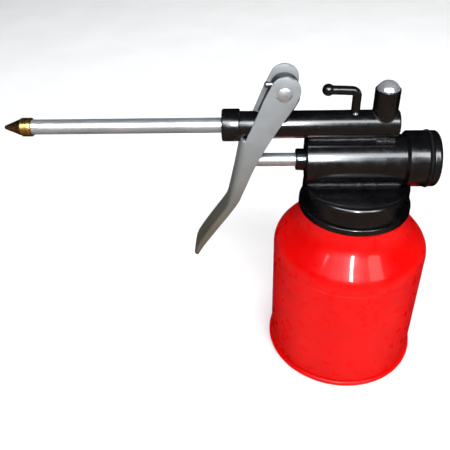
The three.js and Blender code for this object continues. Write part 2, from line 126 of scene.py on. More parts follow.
def make_lights():
    make_panel("long_softbox", (-0.10, -0.74, 0.92), 1.5, 0.36, 18.5, (0.88, 0.94, 1.0))
    make_panel("window_strip", (-0.02, -1.00, 0.80), 0.10, 0.50, 18.0, (0.95, 0.97, 1.0), on_surfaces=False)
    make_panel("window_left", (-0.42, -0.90, 0.70), 0.30, 0.50, 0.5, (0.90, 0.95, 1.0))
    make_panel("window_right", (0.55, -0.75, 0.75), 0.35, 0.60, 4.0, (1.0, 0.96, 0.92))
    make_panel("top_fill", (0.2, 0.3, 1.2), 1.2, 0.8, 12.0, (1.0, 0.98, 0.95), in_reflections=False)
    make_world()
    bpy.context.scene.view_settings.view_transform = "Standard"


# ---------------------------------------------------------------- materials


class Look:
    """A Principled material built up from textures in the piece's own coordinates, in millimetres."""

    def __init__(self, name, colour, values):
        self.material = bpy.data.materials.new(name)
        self.material.use_nodes = True
        self.tree = self.material.node_tree
        self.shader = self.tree.nodes["Principled BSDF"]
        self.shader.inputs["Base Color"].default_value = (*colour, 1.0)
        for socket, value in values.items():
            self.shader.inputs[socket].default_value = value
        own = self.node("ShaderNodeTexCoord").outputs["Object"]
        scaled = self.node("ShaderNodeVectorMath", {0: own, "Scale": 1 / MM}, operation="SCALE")
        self.place = scaled.outputs["Vector"]
        self.height = None

    def node(self, kind, inputs=None, **settings):
        made = self.tree.nodes.new(kind)
        for setting, value in settings.items():
            setattr(made, setting, value)
        for socket, value in (inputs or {}).items():
            if isinstance(value, bpy.types.NodeSocket):
                self.tree.links.new(value, made.inputs[socket])
            else:
                made.inputs[socket].default_value = value
        return made

    def noise(self, size, detail=2.0, stretch=(1.0, 1.0, 1.0), shift=0.0):
        """Noise from 0 to 1 with features of about this size. Stretch lengthens them along an axis."""
        scale = [1.0 / (size * s) for s in stretch]
        mapped = self.node(
            "ShaderNodeMapping", {"Vector": self.place, "Location": (shift,) * 3, "Scale": scale}
        )
        made = self.node("ShaderNodeTexNoise", {"Vector": mapped.outputs[0], "Scale": 1.0, "Detail": detail})
        return made.outputs[0]

    def axis(self, name):
        return self.node("ShaderNodeSeparateXYZ", {0: self.place}).outputs[name]

    def span(self, value, low, high, to_low=0.0, to_high=1.0):
        inputs = {"Value": value, "From Min": low, "From Max": high, "To Min": to_low, "To Max": to_high}
        return self.node("ShaderNodeMapRange", inputs, interpolation_type="SMOOTHSTEP").outputs[0]

    def times(self, first, second):
        return self.node("ShaderNodeMath", {0: first, 1: second}, operation="MULTIPLY").outputs[0]

    def blend(self, share, first, second):
        """A colour between two colours. A plain colour is (red, green, blue)."""
        ends = [end if isinstance(end, bpy.types.NodeSocket) else (*end, 1.0) for end in (first, second)]
        made = self.node("ShaderNodeMix", {"Factor": share}, data_type="RGBA")
        for socket, end in zip((made.inputs[6], made.inputs[7]), ends):
            if isinstance(end, bpy.types.NodeSocket):
                self.tree.links.new(end, socket)
            else:
                socket.default_value = end
        return made.outputs[2]

    def use(self, socket, value):
        self.tree.links.new(value, self.shader.inputs[socket])

    def bump(self, height, depth):
        """Adds relief to the surface. Depth is in millimetres."""
        inputs = {"Height": height, "Distance": depth * MM, "Strength": 1.0}
        if self.height is not None:
            inputs["Normal"] = self.height
        self.height = self.node("ShaderNodeBump", inputs).outputs[0]
        self.use("Normal", self.height)


def red_enamel():
    look = Look(
        "red_enamel",
        (0.72, 0.004, 0.004),
        {"Coat Weight": 0.26, "Coat Roughness": 0.04, "Specular IOR Level": 0.12},
    )
    cloud = look.span(look.noise(18, 3), 0.3, 0.7)
    paint = look.blend(cloud, (0.62, 0.0005, 0.0005), (0.68, 0.001, 0.0005))
    marks = look.span(look.noise(2.4, 6, (1, 1, 2.4)), 0.70, 0.76)
    low = look.span(look.axis("Z"), 12, 34, 1.0, 0.0)
    right = look.span(look.axis("X"), 6, 30)
    scuffs = look.times(marks, look.times(low, right))
    look.use("Base Color", look.blend(scuffs, paint, (0.16, 0.004, 0.004)))
    look.use("Roughness", look.span(look.noise(6, 4), 0.25, 0.75, 0.24, 0.40))
    look.bump(look.noise(24, 1), 0.10)
    look.bump(look.noise(1.6, 1), 0.004)
    return look.material


def black_enamel(name="black_enamel", flecks=0.74, smooth=0.18, rough=0.28, coat=0.3):
    look = Look(
        name,
        (0.006, 0.006, 0.008),
        {"Coat Weight": coat, "Coat Roughness": 0.08, "Specular IOR Level": 0.45},
    )
    cloud = look.span(look.noise(7, 3), 0.3, 0.7)
    paint = look.blend(cloud, (0.0015, 0.0013, 0.0018), (0.004, 0.0035, 0.004))
    # Light flecks: dust on the enamel. On the matte braze, where they are set denser, they are also painted
    # glints in place of highlights on its lumps.
    dust_and_glints = look.span(look.noise(0.9, 3), flecks, flecks + 0.05)
    look.use("Base Color", look.blend(dust_and_glints, paint, (0.20, 0.21, 0.23)))
    look.use("Roughness", look.span(look.noise(3, 4), 0.25, 0.75, smooth, rough))
    look.bump(look.noise(14, 1), 0.015)
    look.bump(look.noise(1.4, 2), 0.003)
    return look.material


def zinc_plate():
    """Dull zinc with a fine grain, and painted shade: a tan darkening, in place of weaker light and warm
    reflections lower down, that grows towards the grip.
    """
    look = Look("zinc_plate", (0.60, 0.62, 0.61), {"Metallic": 0.72})
    cloud = look.span(look.noise(9, 4), 0.3, 0.7)
    plate = look.blend(cloud, (0.40, 0.43, 0.445), (0.45, 0.48, 0.495))
    grain = look.span(look.noise(0.5, 4), 0.35, 0.7)
    plate = look.blend(look.times(grain, 0.25), plate, (0.30, 0.31, 0.31))
    # Painted shade: tan darkening from the head down to the grip, standing in for light and reflection that
    # fall off lower down.
    painted_shade_to_grip = look.span(look.axis("Z"), 76, 150, 0.95, 0.0)
    plate = look.blend(painted_shade_to_grip, plate, (0.19, 0.16, 0.105))
    spots = look.span(look.noise(1.8, 6), 0.72, 0.80)
    look.use("Base Color", look.blend(spots, plate, (0.26, 0.22, 0.17)))
    look.use("Roughness", look.span(look.noise(3, 4), 0.3, 0.7, 0.48, 0.54))
    look.bump(look.noise(0.5, 3), 0.004)
    return look.material


def bright_steel():
    look = Look("bright_steel", (0.66, 0.67, 0.69), {"Metallic": 0.85})
    cloud = look.span(look.noise(6, 4, (3, 1, 1)), 0.3, 0.7)
    steel = look.blend(cloud, (0.56, 0.59, 0.62), (0.70, 0.72, 0.74))
    specks = look.span(look.noise(0.7, 6), 0.60, 0.76)
    look.use("Base Color", look.blend(specks, steel, (0.36, 0.35, 0.33)))
    look.use("Roughness", look.span(look.noise(0.8, 5), 0.3, 0.7, 0.28, 0.46))
    look.bump(look.noise(0.6, 4), 0.006)
    return look.material


def spring_steel():
    look = Look("spring_steel", (0.30, 0.32, 0.35), {"Metallic": 1.0})
    tint = look.span(look.noise(2.5, 3), 0.3, 0.7)
    look.use("Base Color", look.blend(tint, (0.24, 0.25, 0.29), (0.40, 0.38, 0.36)))
    look.use("Roughness", look.span(look.noise(0.8, 3), 0.3, 0.7, 0.25, 0.45))
    look.bump(look.noise(0.5, 2), 0.004)
    return look.material


def worked_brass(name, shine, shade):
    look = Look(name, shine, {"Metallic": 1.0})
    tarnish = look.span(look.noise(2.2, 5), 0.35, 0.68)
    look.use("Base Color", look.blend(tarnish, shine, shade))
    look.use("Roughness", look.span(look.noise(1.0, 4), 0.3, 0.7, 0.22, 0.42))
    look.bump(look.noise(0.25, 2, (0.4, 3, 3)), 0.006)
    return look.material


def nozzle_brass(cone_start):
    """The cone has tarnished darker than the collar behind it."""
    look = Look("nozzle_brass", (0.50, 0.30, 0.09), {"Metallic": 1.0})
    tarnish = look.span(look.noise(1.8, 5), 0.35, 0.68)
    collar = look.blend(tarnish, (0.62, 0.40, 0.13), (0.40, 0.22, 0.06))
    cone = look.blend(tarnish, (0.34, 0.18, 0.06), (0.14, 0.07, 0.03))
    place = look.span(look.axis("X"), cone_start - 1.2, cone_start + 0.6)
    look.use("Base Color", look.blend(place, cone, collar))
    look.use("Roughness", look.span(look.noise(0.9, 4), 0.3, 0.7, 0.22, 0.42))
    look.bump(look.noise(0.3, 2, (0.5, 3, 3)), 0.008)
    return look.material


def polished_chrome():
    look = Look("polished_chrome", (0.86, 0.87, 0.90), {"Metallic": 0.8})
    haze = look.span(look.noise(1.6, 4), 0.35, 0.7)
    look.use("Base Color", look.blend(haze, (0.90, 0.91, 0.93), (0.76, 0.77, 0.80)))
    look.use("Roughness", look.span(look.noise(0.7, 4), 0.3, 0.75, 0.12, 0.24))
    look.bump(look.noise(2.0, 1), 0.010)
    return look.material


def black_rubber():
    look = Look("black_rubber", (0.018, 0.018, 0.018), {"Specular IOR Level": 0.12})
    bloom = look.span(look.noise(3, 4), 0.4, 0.75)
    look.use("Base Color", look.blend(bloom, (0.003, 0.003, 0.003), (0.009, 0.009, 0.008)))
    look.use("Roughness", look.span(look.noise(1.5, 3), 0.3, 0.7, 0.60, 0.85))
    look.bump(look.noise(0.5, 3), 0.015)
    return look.material


def oiled_leather():
    look = Look("oiled_leather", (0.16, 0.07, 0.03), {"Specular IOR Level": 0.4})
    pores = look.node("ShaderNodeTexVoronoi", {"Vector": look.place, "Scale": 1.6}).outputs["Distance"]
    soak = look.span(look.noise(4, 3), 0.3, 0.7)
    look.use("Base Color", look.blend(soak, (0.20, 0.09, 0.035), (0.09, 0.04, 0.02)))
    look.use("Roughness", look.span(pores, 0.0, 0.6, 0.75, 0.45))
    look.bump(look.span(pores, 0.0, 0.4), 0.03)
    return look.material


def pale_floor():
    look = Look("pale_floor", (0.90, 0.90, 0.90), {"Roughness": 0.9, "Specular IOR Level": 0.1})
    tone = look.span(look.noise(60, 2), 0.3, 0.7)
    look.use("Base Color", look.blend(tone, (0.90, 0.90, 0.90), (0.93, 0.93, 0.93)))
    return look.material


# ---------------------------------------------------------------- mesh helpers


def node_box(node):
    """Lowest and highest corner of a CAD node in millimetres."""
    low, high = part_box(node)
    return low / MM, high / MM


def arc(centre, radius, start, end, steps):
    """Points of a circular stretch of a profile."""
    angles = [start + (end - start) * step / steps for step in range(steps + 1)]
    return [(centre[0] + radius * math.cos(a), centre[1] + radius * math.sin(a)) for a in angles]


def quarter_turn(steps):
    """Angles from nothing to a right angle."""
    return [step * math.pi / (2 * steps) for step in range(steps + 1)]


def fillet(before, corner, after, radius, steps=7):
    """The arc that rounds a corner of a profile."""
    corner = Vector(corner)
    towards = (Vector(before) - corner).normalized()
    away = (Vector(after) - corner).normalized()
    half = towards.angle(away) / 2
    centre = corner + (towards + away).normalized() * (radius / math.sin(half))
    first = corner + towards * (radius / math.tan(half)) - centre
    last = corner + away * (radius / math.tan(half)) - centre
    turn = first.angle_signed(last)
    points = []
    for step in range(steps + 1):
        spoke = first.copy()
        spoke.rotate(Matrix.Rotation(-turn * step / steps, 2))
        points.append(tuple(centre + spoke))
    return points


def rounded(corners):
    """A profile whose corners (across, along, radius) are rounded. Corners without a radius stay."""
    points = []
    for index, corner in enumerate(corners):
        if len(corner) == 2:
            points.append(tuple(corner))
            continue
        before = corners[index - 1][:2]
        after = corners[(index + 1) % len(corners)][:2]
        points += fillet(before, corner[:2], after, corner[2])
    return points


def sheet(outer, thickness):
    """The closed section of a sheet whose outer face follows a line."""
    inner = []
    for index, point in enumerate(outer):
        before = Vector(outer[max(index - 1, 0)])
        after = Vector(outer[min(index + 1, len(outer) - 1)])
        along = (after - before).normalized()
        inner.append((point[0] - thickness * along.y, point[1] + thickness * along.x))
    return outer + inner[::-1]


def make_mesh(name, points, faces):
    """An object with a closed mesh, from points in millimetres."""
    mesh = bpy.data.meshes.new(name)
    mesh.from_pydata([Vector(point) * MM for point in points], [], faces)
    shape = bpy.data.objects.new(name, mesh)
    bpy.context.scene.collection.objects.link(shape)
    tidy = bmesh.new()
    tidy.from_mesh(mesh)
    bmesh.ops.remove_doubles(tidy, verts=tidy.verts, dist=1e-7)
    bmesh.ops.recalc_face_normals(tidy, faces=tidy.faces)
    tidy.to_mesh(mesh)
    tidy.free()
    return shape


def stitch(rings, closed=False):
    """Faces between rings of points. A ring is a list of point numbers, or one number at a pole."""
    faces = []
    pairs = list(zip(rings, rings[1:]))
    if closed:
        pairs.append((rings[-1], rings[0]))
    for first, second in pairs:
        count = max(len(first), len(second))
        for side in range(count):
            ahead = (side + 1) % count
            corners = [first[side % len(first)], first[ahead % len(first)]]
            corners += [second[ahead % len(second)], second[side % len(second)]]
            faces.append(list(dict.fromkeys(corners)))
    return faces


def lathe(name, profile, axis="Z", centre=(0, 0, 0), sides=MEDIUM, closed=False):
    """A turned shape. The profile is a list of (radius, distance along the axis)."""
    points = []
    rings = []
    for radius, along in profile:
        start = len(points)
        spokes = sides if radius > 1e-6 else 1
        for side in range(spokes):
            angle = 2 * math.pi * side / sides
            across, over = radius * math.cos(angle), radius * math.sin(angle)
            spot = {"X": (along, across, over), "Y": (across, along, over), "Z": (across, over, along)}[axis]
            points.append(Vector(spot) + Vector(centre))
        rings.append(list(range(start, start + spokes)))
    return make_mesh(name, points, stitch(rings, closed))


def cross_bar(name, radius, half_length, centre):
    """A round bar along Y, about a centre given as (x, z)."""
    profile = [(0, -half_length), (radius, -half_length), (radius, half_length), (0, half_length)]
    return lathe(name, profile, "Y", (centre[0], 0, centre[1]), SMALL)


def sweep(name, stations, sides=32, closed=False, roughen=0.0, seed=0.0):
    """A round bar of changing radius. A station is (centre, radius, outward direction)."""
    points = []
    rings = []
    count = len(stations)
    for index, (centre, radius, outward) in enumerate(stations):
        before = stations[index - 1][0] if closed or index else centre
        after = stations[(index + 1) % count][0] if closed or index + 1 < count else centre
        along = (Vector(after) - Vector(before)).normalized()
        across = Vector(outward).normalized()
        over = along.cross(across).normalized()
        start = len(points)
        spokes = sides if radius > 1e-6 else 1
        for side in range(spokes):
            angle = 2 * math.pi * side / sides
            spoke = across * math.cos(angle) + over * math.sin(angle)
            spot = Vector(centre) + spoke * radius
            swell = 1 + roughen * noise.noise(spot * 0.55 + Vector((seed, 0, 0)))
            points.append(Vector(centre) + spoke * radius * swell)
        rings.append(list(range(start, start + spokes)))
    return make_mesh(name, points, stitch(rings, closed))


def slab(name, outline, thickness):
    """A flat outline of (x, z) points with a thickness along Y."""
    count = len(outline)
    points = [(x, side * thickness / 2, z) for side in (-1, 1) for x, z in outline]
    faces = [list(range(count)), list(range(2 * count - 1, count - 1, -1))]
    for index in range(count):
        ahead = (index + 1) % count
        faces.append([index, index + count, ahead + count, ahead])
    return make_mesh(name, points, faces)


def settle(shape):
    """Writes a shape's modifiers into its mesh."""
    bpy.context.view_layer.update()
    graph = bpy.context.evaluated_depsgraph_get()
    mesh = bpy.data.meshes.new_from_object(shape.evaluated_get(graph))
    shape.modifiers.clear()
    shape.data = mesh


def subtract(shape, *tools):
    for tool in tools:
        cutter = shape.modifiers.new("cut", "BOOLEAN")
        cutter.operation = "DIFFERENCE"
        cutter.solver = "EXACT"
        cutter.object = tool
    settle(shape)
    for tool in tools:
        bpy.data.objects.remove(tool)


def soften(shape, width, segments=3, angle=40):
    """Rounds a shape's sharp edges. Millimetres and degrees."""
    bevel = shape.modifiers.new("soften", "BEVEL")
    bevel.width = width * MM
    bevel.segments = segments
    bevel.limit_method = "ANGLE"
    bevel.angle_limit = math.radians(angle)
    bevel.use_clamp_overlap = False
    settle(shape)


def dress(shape, material, body, slot, *nodes, sharp=34):
    """Gives a shape its material, and puts it on its body in place of its CAD nodes."""
    mesh = shape.data
    mesh.materials.clear()
    mesh.materials.append(material)
    for face in mesh.polygons:
        face.use_smooth = True
    mesh.set_sharp_from_angle(angle=math.radians(sharp))
    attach(shape, body)
    if nodes:
        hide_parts(*nodes)
    return shape


# ---------------------------------------------------------------- can


def make_wall(material):
    low, high = node_box("can_wall")
    inner = high.x - SHEET
    profile = rounded([(inner, low.z), (high.x, low.z), (high.x, high.z, 0.25), (inner, high.z)])
    shape = lathe("wall_sheet", profile, sides=WIDE, closed=True)
    return dress(shape, material, "can", "red_paint", "can_wall")


def shoulder_line(radius, start, neck_radius, neck_height):
    """The shoulder rolls in from the wall, runs straight, and flares upright again at the neck."""
    roll_radius = 11.0
    turn = 0.68
    steps = 16
    roll = arc((radius - roll_radius, start), roll_radius, 0, turn, steps)
    end_radius, end_height = roll[-1]
    slope = 1 / math.tan(turn)
    rise = neck_height - end_height - (end_radius - neck_radius) * slope
    flare_radius = rise / (math.sin(turn) - (1 - math.cos(turn)) * slope)
    flare_centre = (neck_radius + flare_radius, neck_height)
    return roll + arc(flare_centre, flare_radius, math.pi + turn, math.pi, steps)


def make_shoulder(material):
    radius = node_box("can_wall")[1].x
    seam = node_box("can_wall")[1].z
    neck_height = node_box("can_shoulder")[1].z
    neck_radius = node_box("neck_collar")[1].x - 0.4
    skirt = node_box("can_shoulder")[0].z
    start = seam + 2.6
    inside = radius - SHEET - GAP
    lip = rounded([(inside, skirt), (inside, seam), (radius, seam + 0.12, 0.22), (radius, start)])
    outer = lip[:-1] + shoulder_line(radius, start, neck_radius, neck_height)
    section = sheet(outer, SHEET)
    shape = lathe("shoulder_sheet", section, sides=WIDE, closed=True)
    return dress(shape, material, "can", "red_paint", "can_shoulder")


def make_base(material):
    high = node_box("can_base")[1]
    wall = node_box("can_wall")[1].x
    groove_inner = wall - 8
    groove_outer = wall - 2
    groove = 1.4
    bead = 1.3
    profile = rounded(
        [
            (0, 0),
            (groove_inner, 0, 0.5),
            (groove_inner + 1, groove, 0.3),
            (groove_outer, groove, 0.5),
            (groove_outer + 1, 0, 0.4),
            (high.x, 0, bead),
            (high.x, high.z, bead),
            (groove_outer + 1, high.z, 0.2),
            (groove_outer, groove + SHEET, 0.2),
            (groove_inner, groove + SHEET, 0.4),
            (groove_inner - 1, SHEET, 0.4),
            (0, SHEET),
        ]
    )
    return dress(lathe("base_bead", profile, sides=WIDE), material, "can", "red_paint", "can_base")


def make_collar(material):
    low, high = node_box("neck_collar")
    thread = 23.7
    root = thread - 0.7
    bore = thread - 2
    flange_low = node_box("can_shoulder")[1].z + GAP
    flange_high = node_box("neck_gasket")[0].z - GAP
    pitch = 2.0
    turns = int((high.z - flange_high - 1.0) / pitch)
    profile = [(bore, low.z), (thread, low.z), (thread, flange_low)]
    profile += rounded(
        [
            (thread, flange_low),
            (high.x, flange_low, 0.5),
            (high.x, flange_high, 0.7),
            (thread, flange_high),
        ]
    )[1:]
    for turn in range(turns):
        foot = flange_high + 0.8 + turn * pitch
        profile += [(root, foot), (thread, foot + 0.5), (thread, foot + 0.8), (root, foot + 1.3)]
    profile += [(root, high.z), (bore, high.z)]
    shape = lathe("collar_ring", profile, sides=WIDE, closed=True)
    return dress(shape, material, "can", "black_paint", "neck_collar")


# ---------------------------------------------------------------- pump head


def make_ring(name, node, bore, round_over, axis, centre, material, body, slot):
    """A plain ring with rounded outer edges, from its CAD node's box."""
    low, high = node_box(node)
    span = {"X": (low.x, high.x), "Z": (low.z, high.z)}[axis]
    radius = high.y
    profile = rounded(
        [
            (bore, span[0]),
            (radius, span[0], round_over),
            (radius, span[1], round_over),
            (bore, span[1]),
        ]
    )
    shape = lathe(name, profile, axis, centre, MEDIUM, closed=True)
    return dress(shape, material, body, slot, node)


def make_cap(material, barrel_centre):
    low, high = node_box("pump_cap")
    bore = 24.0
    plate = 2.0
    inlet = 2.0
    profile = rounded(
        [
            (bore, low.z),
            (high.x, low.z, 0.6),
            (high.x, high.z, 2.4),
            (inlet, high.z),
            (inlet, high.z - plate),
            (bore, high.z - plate),
        ]
    )
    shape = lathe("cap_shell", profile, sides=WIDE, closed=True)
    head_low, head_high = node_box("barrel_head")
    notch_radius = head_high.y + 0.3
    notch = [(0, head_low.x - 0.3), (notch_radius, head_low.x - 0.3), (notch_radius, 45), (0, 45)]
    subtract(shape, lathe("notch", notch, "X", barrel_centre, MEDIUM))
    return dress(shape, material, "head", "black_paint", "pump_cap")


def make_barrel(material, centre):
    low, high = node_box("pump_barrel")
    bore = 10.0
    rod_hole = node_box("plunger_rod")[1].y + 0.3
    wall = 2.0
    profile = rounded(
        [
            (rod_hole, low.x),
            (high.y, low.x, 0.7),
            (high.y, high.x),
            (bore, high.x),
            (bore, low.x + wall),
            (rod_hole, low.x + wall),
        ]
    )
    shape = lathe("barrel_tube", profile, "X", centre, MEDIUM, closed=True)
    return dress(shape, material, "head", "black_paint", "pump_barrel")


def make_barrel_head(material, centre):
    low, high = node_box("barrel_head")
    bore = node_box("pump_barrel")[1].y + GAP
    chamfer = 1.4
    profile = rounded(
        [
            (bore, low.x),
            (high.y - chamfer, low.x, 0.1),
            (high.y, low.x + chamfer, 0.4),
            (high.y, high.x, 0.5),
            (bore, high.x),
        ]
    )
    shape = lathe("barrel_collar", profile, "X", centre, MEDIUM, closed=True)
    return dress(shape, material, "head", "black_paint", "barrel_head")


def make_rear_cap(material, centre):
    """A screw cap with a spigot inside, a round rim and a coin slot across its end."""
    low, high = node_box("rear_cap")
    front = node_box("rear_gasket")[1].x + GAP
    spigot = 9.9
    cup = 8.0
    profile = rounded(
        [
            (0, front),
            (cup, front),
            (cup, low.x),
            (spigot, low.x),
            (spigot, front),
            (high.y, front, 0.5),
            (high.y, high.x, 1.7),
            (high.y - 3.4, high.x, 0.4),
            (high.y - 3.8, high.x - 0.5, 0.4),
            (0, high.x - 0.5),
        ]
    )
    shape = lathe("rear_closure", profile, "X", centre, MEDIUM)
    slot_floor = high.x - 1.6
    slot_mouth = high.x + 2
    slot_low, slot_high = centre[2] - 1, centre[2] + 1
    slot_corners = [(slot_floor, slot_low), (slot_mouth, slot_low)]
    slot_corners += [(slot_mouth, slot_high), (slot_floor, slot_high)]
    subtract(shape, slab("slot", slot_corners, 16))
    return dress(shape, material, "head", "black_paint", "rear_cap")


def make_gland(material, centre):
    low, high = node_box("gland_nut")
    bore = node_box("plunger_rod")[1].y + 0.2
    profile = rounded([(bore, low.x), (high.y, low.x, 0.8), (high.y, high.x), (bore, high.x)])
    shape = lathe("gland_ring", profile, "X", centre, SMALL, closed=True)
    return dress(shape, material, "head", "black_paint", "gland_nut")


def make_rod(material, centre):
    low, high = node_box("plunger_rod")
    radius = high.y
    shank = 2.4
    step = high.x - 6.4
    nose_length = 1.4
    nose = [(radius * math.sin(a), low.x + nose_length * (1 - math.cos(a))) for a in quarter_turn(10)]
    tail = [(radius, step - 3), (radius, step, 0.3), (shank, step), (shank, high.x, 0.4), (0, high.x)]
    profile = nose + rounded(tail)
    shape = lathe("rod_bar", profile, "X", centre, SMALL)
    return dress(shape, material, "plunger", "bright_steel", "plunger_rod")


# ---------------------------------------------------------------- delivery tube, valve and spout


def make_tube(material, centre):
    low, high = node_box("outlet_tube")
    bore = 4.2
    profile = rounded(
        [
            (0, high.x - 2),
            (bore, high.x - 2),
            (bore, low.x),
            (high.y, low.x, 0.3),
            (high.y, high.x, 1.1),
            (0, high.x),
        ]
    )
    shape = lathe("delivery_tube", profile, "X", centre, MEDIUM)
    return dress(shape, material, "head", "black_paint", "outlet_tube")


def make_boss(material, tube_centre, tube_radius):
    """An upright cylinder whose foot follows the delivery tube and whose mouth holds the plug."""
    low, high = node_box("valve_boss")
    centre_x = (low.x + high.x) / 2
    radius = high.y
    bore = 4.0
    mouth = node_box("valve_plug")[1].y + GAP
    foot = tube_centre[2] + 1
    profile = rounded(
        [
            (bore, foot),
            (radius, foot),
            (radius, high.z, 0.35),
            (mouth, high.z, 0.05),
            (mouth, high.z - 2),
            (bore, high.z - 2),
        ]
    )
    shape = lathe("boss_tube", profile, "Z", (centre_x, 0, 0), SMALL, closed=True)
    for vertex in shape.data.vertices:
        if vertex.co.z < (foot + 0.01) * MM:
            side = vertex.co.y / MM
            vertex.co.z = (tube_centre[2] + math.sqrt(tube_radius**2 - side**2) - 0.05) * MM
    return dress(shape, material, "head", "black_paint", "valve_boss")


def make_plug(material):
    low, high = node_box("valve_plug")
    centre_x = (low.x + high.x) / 2
    radius = high.y
    shoulder = low.z + 3.2
    shank = 3.85
    rise = 3.7
    dome_radius = (radius**2 + rise**2) / (2 * rise)
    dome = arc((0, high.z - dome_radius), dome_radius, math.acos(radius / dome_radius), math.pi / 2, 24)
    profile = [(0, low.z), (shank, low.z), (shank, shoulder), (radius, shoulder)]
    profile += dome[:-1] + [(0, high.z)]
    shape = lathe("plug_dome", profile, "Z", (centre_x, 0, 0), SMALL)
    return dress(shape, material, "head", "chrome", "valve_plug")


def make_spout_nut(material, centre):
    low, high = node_box("spout_nut")
    spout = node_box("spout_tube")[1].y + GAP
    bore = node_box("outlet_tube")[1].y + GAP
    lip = 3.0
    profile = rounded(
        [
            (spout, low.x),
            (high.y, low.x, 0.9),
            (high.y, high.x, 0.7),
            (bore, high.x),
            (bore, low.x + lip),
            (spout, low.x + lip),
        ]
    )
    shape = lathe("front_collar", profile, "X", centre, MEDIUM, closed=True)
    return dress(shape, material, "head", "black_paint", "spout_nut")


def make_spout(material, centre):
    low, high = node_box("spout_tube")
    bore = 2.2
    length = high.x - low.x
    steps = 60
    outer = [(high.y, low.x + length * step / steps) for step in range(steps + 1)]
    profile = [(bore, low.x)] + outer + [(bore, high.x)]
    shape = lathe("spout_pipe", profile, "X", centre, SMALL, closed=True)
    return dress(shape, material, "head", "bright_steel", "spout_tube")


def make_nozzle(material, centre, cone_start):
    low, high = node_box("nozzle_tip")
    radius = high.y
    tip = 0.8
    orifice = 0.4
    socket = node_box("spout_tube")[1].y + GAP
    socket_end = high.x - 3.2
    profile = rounded(
        [
            (orifice, low.x),
            (tip, low.x, 0.3),
            (radius - 0.35, cone_start - 0.3, 0.4),
            (radius, cone_start, 0.2),
            (radius, high.x, 0.6),
            (socket, high.x),
            (socket, socket_end),
            (orifice, socket_end),
        ]
    )
    shape = lathe("nozzle_cone", profile, "X", centre, SMALL, closed=True)
    return dress(shape, material, "head", "brass", "nozzle_tip")


# ---------------------------------------------------------------- hook, lug, screw and pin


def make_hook(material, tube_top):
    """A bent wire that flares at its foot and ends in a ball."""
    low = node_box("hanging_hook")[0]
    ball = 2.75
    wire = 2.05
    stem_x = -4.3
    bar_z = 157.6
    bend = 2.6
    ball_centre = Vector((low.x + ball, 0, 158.1))
    line = [Vector((stem_x, 0, tube_top - 0.6 + step * 0.4)) for step in range(19)]
    corner = Vector((stem_x - bend, 0, bar_z - bend))
    line = [point for point in line if point.z < corner.z - 0.2]
    for step in range(13):
        angle = step / 12 * math.pi / 2
        line.append(corner + Vector((math.cos(angle), 0, math.sin(angle))) * bend)
    start = line[-1]
    reach = (ball_centre - start).length
    along = (ball_centre - start).normalized()
    line += [start + along * (reach - ball) * step / 10 for step in range(1, 11)]
    line += [ball_centre - along * ball * math.cos(step / 16 * math.pi) for step in range(1, 17)]
    stations = []
    for point in line:
        climb = max(0.0, 1 - (point.z - tube_top + 0.6) / 1.8) if point.x > stem_x - 0.1 else 0.0
        from_ball = (point - ball_centre).dot(along)
        round_ball = math.sqrt(max(0.0, ball**2 - from_ball**2))
        radius = max(round_ball, wire if from_ball < 0 else 0.0) + 0.7 * climb**2
        stations.append((point, radius, (0, 1, 0)))
    foot = stations[0]
    stations.insert(0, (foot[0] - Vector((0, 0, 0.01)), 0.0, (0, 1, 0)))
    shape = sweep("hook_wire", stations, sides=40)
    return dress(shape, material, "head", "black_paint", "hanging_hook", sharp=50)


def make_lug(material, tube_centre, tube_radius, pin_centre, hole_radius):
    """A thick lug that leans like the lever's side plates."""
    low, high = node_box("lever_lug")
    thickness = high.y - low.y
    top = (-36.9, 157.7)
    top_round = 6.6
    outline = [(low.x, low.z), (top[0] + 0.8, low.z)]
    outline += arc(top, top_round, -0.35, math.pi - 0.35, 28)
    shape = slab("lug_block", outline, thickness)
    pin_hole = cross_bar("pin_hole", hole_radius, 10, pin_centre)
    room = tube_radius + GAP
    start, end = low.x - 5, high.x + 5
    tube = [(0, start), (room, start), (room, end), (0, end)]
    soften(shape, 0.7, 4, 30)
    subtract(shape, lathe("tube_room", tube, "X", tube_centre, MEDIUM), pin_hole)
    return dress(shape, material, "head", "black_paint", "lever_lug")


def make_set_screw(material):
    low, high = node_box("lug_set_screw")
    centre_z = (low.z + high.z) / 2
    head = (high.z - low.z) / 2
    back = low.x + head + 0.1
    shank = 0.95
    dome = [(head * math.sin(a), back - (back - low.x) * math.cos(a)) for a in quarter_turn(12)]
    profile = dome + [(head, back + 0.2), (shank, back + 0.3), (shank, high.x), (0, high.x)]
    shape = lathe("set_screw_head", profile, "X", (0, 0, centre_z), SMALL)
    return dress(shape, material, "head", "bright_steel", "lug_set_screw")


def make_pin(material, centre):
    low, high = node_box("pivot_pin")
    radius = (high.z - low.z) / 2
    rise = 1.0
    base = high.y - rise
    shank = 2.3
    dome = [(radius * math.sin(a), rise * math.cos(a)) for a in quarter_turn(14)]
    upper = [(r, base + h) for r, h in dome]
    lower = [(r, -base - h) for r, h in dome]
    profile = lower + [(shank, -base), (shank, base)] + upper[::-1]
    shape = lathe("rivet_pin", profile, "Y", (centre[0], 0, centre[1]), SMALL)
    return dress(shape, material, "head", "bright_steel", "pivot_pin")


# ---------------------------------------------------------------- lever

# Front face of the web, from the grip's tip up to its top end, which runs into the delivery tube.
WEB_LINE = [
    (-83.1, 65.8),
    (-81.8, 71.3),
    (-79.1, 76.8),
    (-72.3, 87.4),
    (-65.4, 97.8),
    (-63.4, 104.4),
    (-61.5, 113.6),
    (-59.6, 122.9),
    (-57.9, 131.8),
    (-56.9, 137.0),
]

# Rear edge of the side plates, from the tip up to the round head.
REAR_LINE = [
    (-81.2, 64.2),
    (-78.1, 72.4),
    (-60.4, 98.6),
    (-56.3, 107.1),
    (-50.8, 121.0),
    (-45.5, 132.0),
    (-39.6, 142.4),
    (-32.2, 154.5),
]

HEAD_CENTRE = (-36.9, 161.0)
HEAD_ROUND = 6.75


